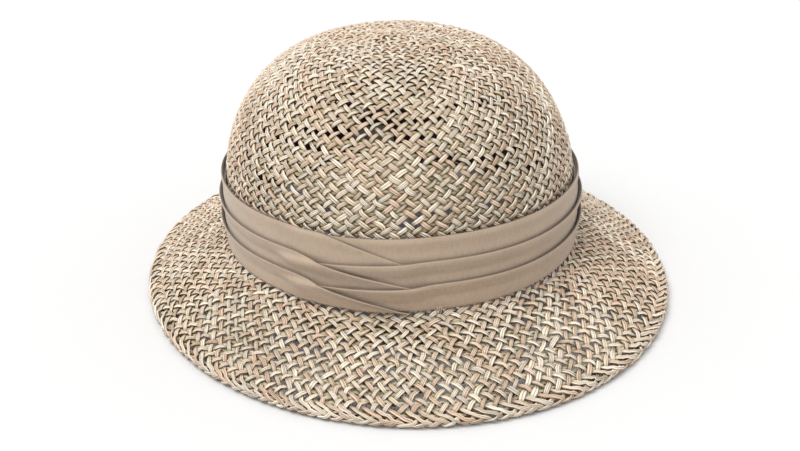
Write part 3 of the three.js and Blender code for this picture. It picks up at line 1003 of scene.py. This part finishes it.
# Painted shade for the crevice behind each fold of the band.
CREASE_SHADE = (0.17, 0.115, 0.085, 1)
YARN_TONES = ((0.3, (0.82, 0.8, 0.77, 1)), (0.6, (1.04, 1.04, 1.04, 1)))
CLOUD_TONES = ((0.3, (0.9, 0.87, 0.84, 1)), (0.7, (1.05, 1.05, 1.05, 1)))
YARN_LENGTH, YARN_MIX, CLOUD_SCALE, CLOUD_MIX = 0.22, 0.4, (45, 110), 0.5
CROSS_PITCH, CROSS_RELIEF, RIB_RELIEF = 1.3, 0.2, 0.5
CLOTH_ROUGHNESS, YARN_ROUGHNESS, CLOTH_SPECULAR, CLOTH_SHEEN = 0.78, 0.15, 0.2, 0.3
CLOTH_BUMP, CLOTH_BUMP_REACH = 0.35, 0.12 * MM


def cloth_material(name, colour, pitch, slope, depth):
    """Woven cloth: twill ribs at that slope, uneven yarns, a soft change of tone, and painted shade
    behind the folds.
    """
    m = Nodes(name)
    along, across, crease_shade = m.split(m.attribute("cloth_place"))
    lean = m.math("MULTIPLY_ADD", across, slope, along)
    rib = m.math("SINE", m.math("MULTIPLY", lean, TURN / pitch))
    cross = m.math("SINE", m.math("MULTIPLY", across, TURN / pitch * CROSS_PITCH))
    yarn = m.noise(1.0, m.stretched((1 / pitch, YARN_LENGTH / pitch), along, across))
    cloud = m.noise(1.0, m.stretched(CLOUD_SCALE, along, across))
    light, dark = colour, tuple(c * (1 - depth) for c in colour[:3]) + (1,)
    tint = m.mix(m.math("MULTIPLY_ADD", rib, 0.5, 0.5), light, dark)
    tint = m.mix(YARN_MIX, tint, m.ramp(yarn, YARN_TONES), "MULTIPLY")
    tint = m.mix(CLOUD_MIX, tint, m.ramp(cloud, CLOUD_TONES), "MULTIPLY")
    # Painted shade behind each fold of the band.
    tint = m.mix(crease_shade, tint, CREASE_SHADE, "MULTIPLY")
    ribs = m.math("MULTIPLY_ADD", cross, CROSS_RELIEF, m.math("MULTIPLY", rib, RIB_RELIEF))
    height = m.math("ADD", ribs, yarn)
    rough = m.math("MULTIPLY_ADD", yarn, YARN_ROUGHNESS, CLOTH_ROUGHNESS)
    m.shader.inputs["Specular IOR Level"].default_value = CLOTH_SPECULAR
    return m.finish(tint, rough, height, CLOTH_BUMP, CLOTH_BUMP_REACH, CLOTH_SHEEN)


WIRE_GRAIN, WIRE_METAL, WIRE_ROUGHNESS, WIRE_BUMP, WIRE_BUMP_REACH = 900.0, 0.8, 0.3, 0.3, 0.2 * MM


def wire_material():
    """Drawn steel wire, slightly dull."""
    m = Nodes("edge_wire")
    grain = m.noise(WIRE_GRAIN)
    m.shader.inputs["Metallic"].default_value = WIRE_METAL
    tone = m.ramp(grain, ((0.3, srgb(120, 116, 108)), (0.7, srgb(176, 172, 164))))
    rough = m.math("MULTIPLY_ADD", grain, WIRE_ROUGHNESS, WIRE_ROUGHNESS)
    return m.finish(tone, rough, grain, WIRE_BUMP, WIRE_BUMP_REACH)


band_cotton = cloth_material("band_cotton", srgb(195, 174, 152), 0.85 * MM, 0.9, 0.3)
buckram = cloth_material("buckram", srgb(214, 204, 184), 1.0 * MM, 0.0, 0.3)
tape_cotton = cloth_material("sweatband_cotton", srgb(96, 80, 64), 0.9 * MM, 0.0, 0.25)
label_tape = cloth_material("label_tape", srgb(232, 228, 216), 0.5 * MM, 1.0, 0.1)
sewing_thread = cloth_material("thread", srgb(202, 186, 162), 0.5 * MM, 1.6, 0.35)
band_thread = cloth_material("band_thread", srgb(190, 169, 147), 0.5 * MM, 1.6, 0.3)

woven = build_weave(straw)
inner = build_fillers(inner_straw)
for piece in woven + inner:
    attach(piece, "root")
for piece in woven:
    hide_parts("woven_crown", "woven_brim")
build_lining(buckram)
build_band(band_cotton)
build_sweatband(tape_cotton, sewing_thread)
build_hem_stitches(sewing_thread)
build_tacks(band_thread)
build_label(label_tape)
wire = bpy.data.objects["brim_wire"]
for slot in wire.material_slots:
    slot.material = wire_material()


# ---- Studio -------------------------------------------------------------------------------
CAMERA_ANGLES = (17.7, -8.2, -1.9)  # elevation, azimuth and roll, in degrees
ORBIT_CENTRE, CAMERA_FAR = Vector((0, CROWN_Y, 73 * MM)), 0.652
AIM = Vector((-1.1 * MM, 0, 21.6 * MM))
SENSOR, LENS = 36, 57.6  # millimetres
KEY_PLACE, KEY_SPREAD, KEY_STRENGTH, SKY_STRENGTH = (-0.45, -0.38, 1.2), 45, 2.15, 0.8
FLOOR_HALF, FLOOR_DROP, FLOOR_TONE, FLOOR_ROUGHNESS, FLOOR_SPECULAR = 30.0, 0.4 * MM, 0.72, 0.9, 0.1


def add_camera():
    data = bpy.data.cameras.new("camera")
    camera = bpy.data.objects.new("camera", data)
    bpy.context.collection.objects.link(camera)
    bpy.context.scene.camera = camera
    elevation, azimuth, roll = (math.radians(angle) for angle in CAMERA_ANGLES)
    level, rise = math.cos(elevation), math.sin(elevation)
    back = Vector((math.sin(azimuth) * level, -math.cos(azimuth) * level, rise))
    camera.location = ORBIT_CENTRE + back * CAMERA_FAR
    facing = (camera.location - AIM).to_track_quat("Z", "Y").to_matrix()
    camera.rotation_euler = (facing @ Matrix.Rotation(roll, 3, "Z")).to_euler()
    data.sensor_width = SENSOR
    data.lens = LENS


def add_sun(name, place, spread, strength):
    """A large, even studio light from that direction."""
    data = bpy.data.lights.new(name, "SUN")
    data.angle = math.radians(spread)
    data.energy = strength
    light = bpy.data.objects.new(name, data)
    bpy.context.collection.objects.link(light)
    light.rotation_euler = Vector(place).to_track_quat("Z", "Y").to_euler()


def add_floor():
    mesh = bpy.data.meshes.new("floor")
    corners = [(-1, -1), (1, -1), (1, 1), (-1, 1)]
    mesh.from_pydata([(x * FLOOR_HALF, y * FLOOR_HALF, 0) for x, y in corners], [], [(0, 1, 2, 3)])
    floor = bpy.data.objects.new("floor", mesh)
    bpy.context.collection.objects.link(floor)
    floor.location.z = -FLOOR_DROP
    m = bpy.data.materials.new("pale_floor")
    m.use_nodes = True
    shader = m.node_tree.nodes["Principled BSDF"]
    shader.inputs["Base Color"].default_value = (FLOOR_TONE, FLOOR_TONE, FLOOR_TONE, 1)
    shader.inputs["Roughness"].default_value = FLOOR_ROUGHNESS
    shader.inputs["Specular IOR Level"].default_value = FLOOR_SPECULAR
    mesh.materials.append(m)


def add_sky():
    world = bpy.data.worlds.new("studio")
    bpy.context.scene.world = world
    world.use_nodes = True
    sky = world.node_tree.nodes["Background"]
    sky.inputs["Color"].default_value = (1, 1, 1, 1)
    sky.inputs["Strength"].default_value = SKY_STRENGTH


add_camera()
add_floor()
add_sun("key", KEY_PLACE, KEY_SPREAD, KEY_STRENGTH)
add_sky()
bpy.context.scene.view_settings.view_transform = "Standard"
